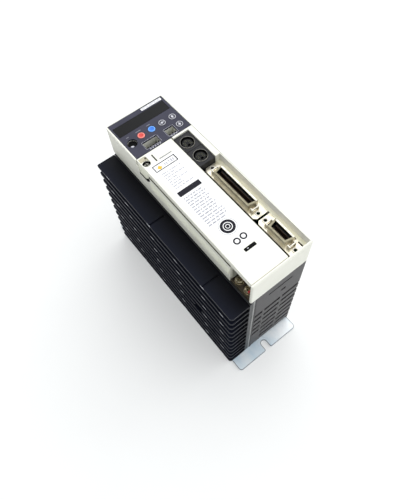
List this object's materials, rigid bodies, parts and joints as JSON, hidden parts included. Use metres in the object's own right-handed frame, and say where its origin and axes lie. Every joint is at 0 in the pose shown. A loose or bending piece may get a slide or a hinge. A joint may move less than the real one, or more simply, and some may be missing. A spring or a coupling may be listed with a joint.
{
  "type": "servo drive",
  "caption": "Slim panel-mount servo drive with a finned side heat sink, keypad display, hinged terminal cover and front connectors.",
  "frame": {"origin": "centre of the footprint, on the back face of the mounting plate", "axes": "+Z out of the front panel, +Y towards the display end, +X towards the connector side, away from the heat sink"},
  "size_m": [0.061, 0.171, 0.1302],
  "materials": {
    "zinc_plate": "zinc plated, faint blue sheen",
    "sink_black": "black cast finish with a navy sheen",
    "bare_aluminium": "sawn cast aluminium, dull",
    "steel_fastener": "nickel-plated steel",
    "nickel_shell": "pale gold nickel plating",
    "casing_grey": "fine textured moulding",
    "housing_beige": "fine textured warm grey-white moulding",
    "panel_slate": "satin slate panel",
    "window_smoke": "glossy smoke black",
    "black_plastic": "black moulding",
    "cap_red": "satin red",
    "cap_blue": "satin blue",
    "cap_grey": "satin grey with a pale ring",
    "pale_plastic": "pale moulding",
    "board_green": "solder mask",
    "can_sleeve": "dark blue sleeve",
    "winding_brown": "varnished winding"
  },
  "bodies": {
    "chassis": {"mounting_plate": "zinc_plate", "heat_sink": "sink_black", "heat_spreader": "bare_aluminium", "chassis_bracket": "zinc_plate", "heatsink_screw_1": "steel_fastener", "heatsink_screw_2": "steel_fastener", "rear_casing": "casing_grey", "front_housing": "housing_beige", "display_panel": "panel_slate", "display_window": "window_smoke", "led_display": "black_plastic", "panel_board": "board_green", "tact_switch_1": "black_plastic", "tact_switch_2": "black_plastic", "tact_switch_3": "black_plastic", "tact_switch_4": "black_plastic", "tact_switch_5": "black_plastic", "id_switch_body": "black_plastic", "monitor_pin_header": "steel_fastener", "ground_pin_header": "steel_fastener", "hinge_pin_upper": "steel_fastener", "hinge_pin_lower": "steel_fastener", "mains_terminal_block": "black_plastic", "motor_terminal_block": "black_plastic", "earth_bar": "zinc_plate", "earth_screw_1": "nickel_shell", "earth_screw_2": "nickel_shell", "charge_lamp": "window_smoke", "serial_port_block": "black_plastic", "din_shield_1": "steel_fastener", "din_core_1": "black_plastic", "din_shield_2": "steel_fastener", "din_core_2": "black_plastic", "io_connector_shell": "nickel_shell", "io_connector_insert": "black_plastic", "encoder_connector_shell": "nickel_shell", "encoder_connector_insert": "black_plastic", "control_board": "board_green", "power_board": "board_green", "power_module": "black_plastic", "bus_capacitor_1": "can_sleeve", "bus_capacitor_2": "can_sleeve", "transformer": "winding_brown", "relay": "pale_plastic", "board_link": "pale_plastic", "panel_link": "pale_plastic", "standoff_1": "steel_fastener", "standoff_2": "steel_fastener", "standoff_3": "steel_fastener", "standoff_4": "steel_fastener"},
    "terminal_cover": {"terminal_cover": "housing_beige", "cover_screw": "steel_fastener"},
    "mode_button": {"mode_button": "cap_red"},
    "set_button": {"set_button": "cap_blue"},
    "shift_button": {"shift_button": "cap_grey"},
    "up_button": {"up_button": "cap_grey"},
    "down_button": {"down_button": "cap_grey"},
    "id_switch_rotor": {"id_switch_rotor": "pale_plastic"}
  },
  "joints": [
    {"name": "cover_hinge", "type": "hinge", "parent": "chassis", "child": "terminal_cover", "pos_m": [0.0084, 0, 0.1276], "axis": [0, 1, 0], "range_deg": [0, 100]},
    {"name": "mode_button_press", "type": "slide", "parent": "chassis", "child": "mode_button", "axis": [0, 0, -1], "range_m": [0, 0.0006], "stiffness_N_per_m": 300},
    {"name": "set_button_press", "type": "slide", "parent": "chassis", "child": "set_button", "axis": [0, 0, -1], "range_m": [0, 0.0006], "stiffness_N_per_m": 300},
    {"name": "shift_button_press", "type": "slide", "parent": "chassis", "child": "shift_button", "axis": [0, 0, -1], "range_m": [0, 0.0006], "stiffness_N_per_m": 300},
    {"name": "up_button_press", "type": "slide", "parent": "chassis", "child": "up_button", "axis": [0, 0, -1], "range_m": [0, 0.0006], "stiffness_N_per_m": 300},
    {"name": "down_button_press", "type": "slide", "parent": "chassis", "child": "down_button", "axis": [0, 0, -1], "range_m": [0, 0.0006], "stiffness_N_per_m": 300},
    {"name": "id_switch_turn", "type": "hinge", "parent": "chassis", "child": "id_switch_rotor", "pos_m": [-0.0097, 0.0522, 0.1257], "axis": [0, 0, 1], "continuous": true}
  ]
}
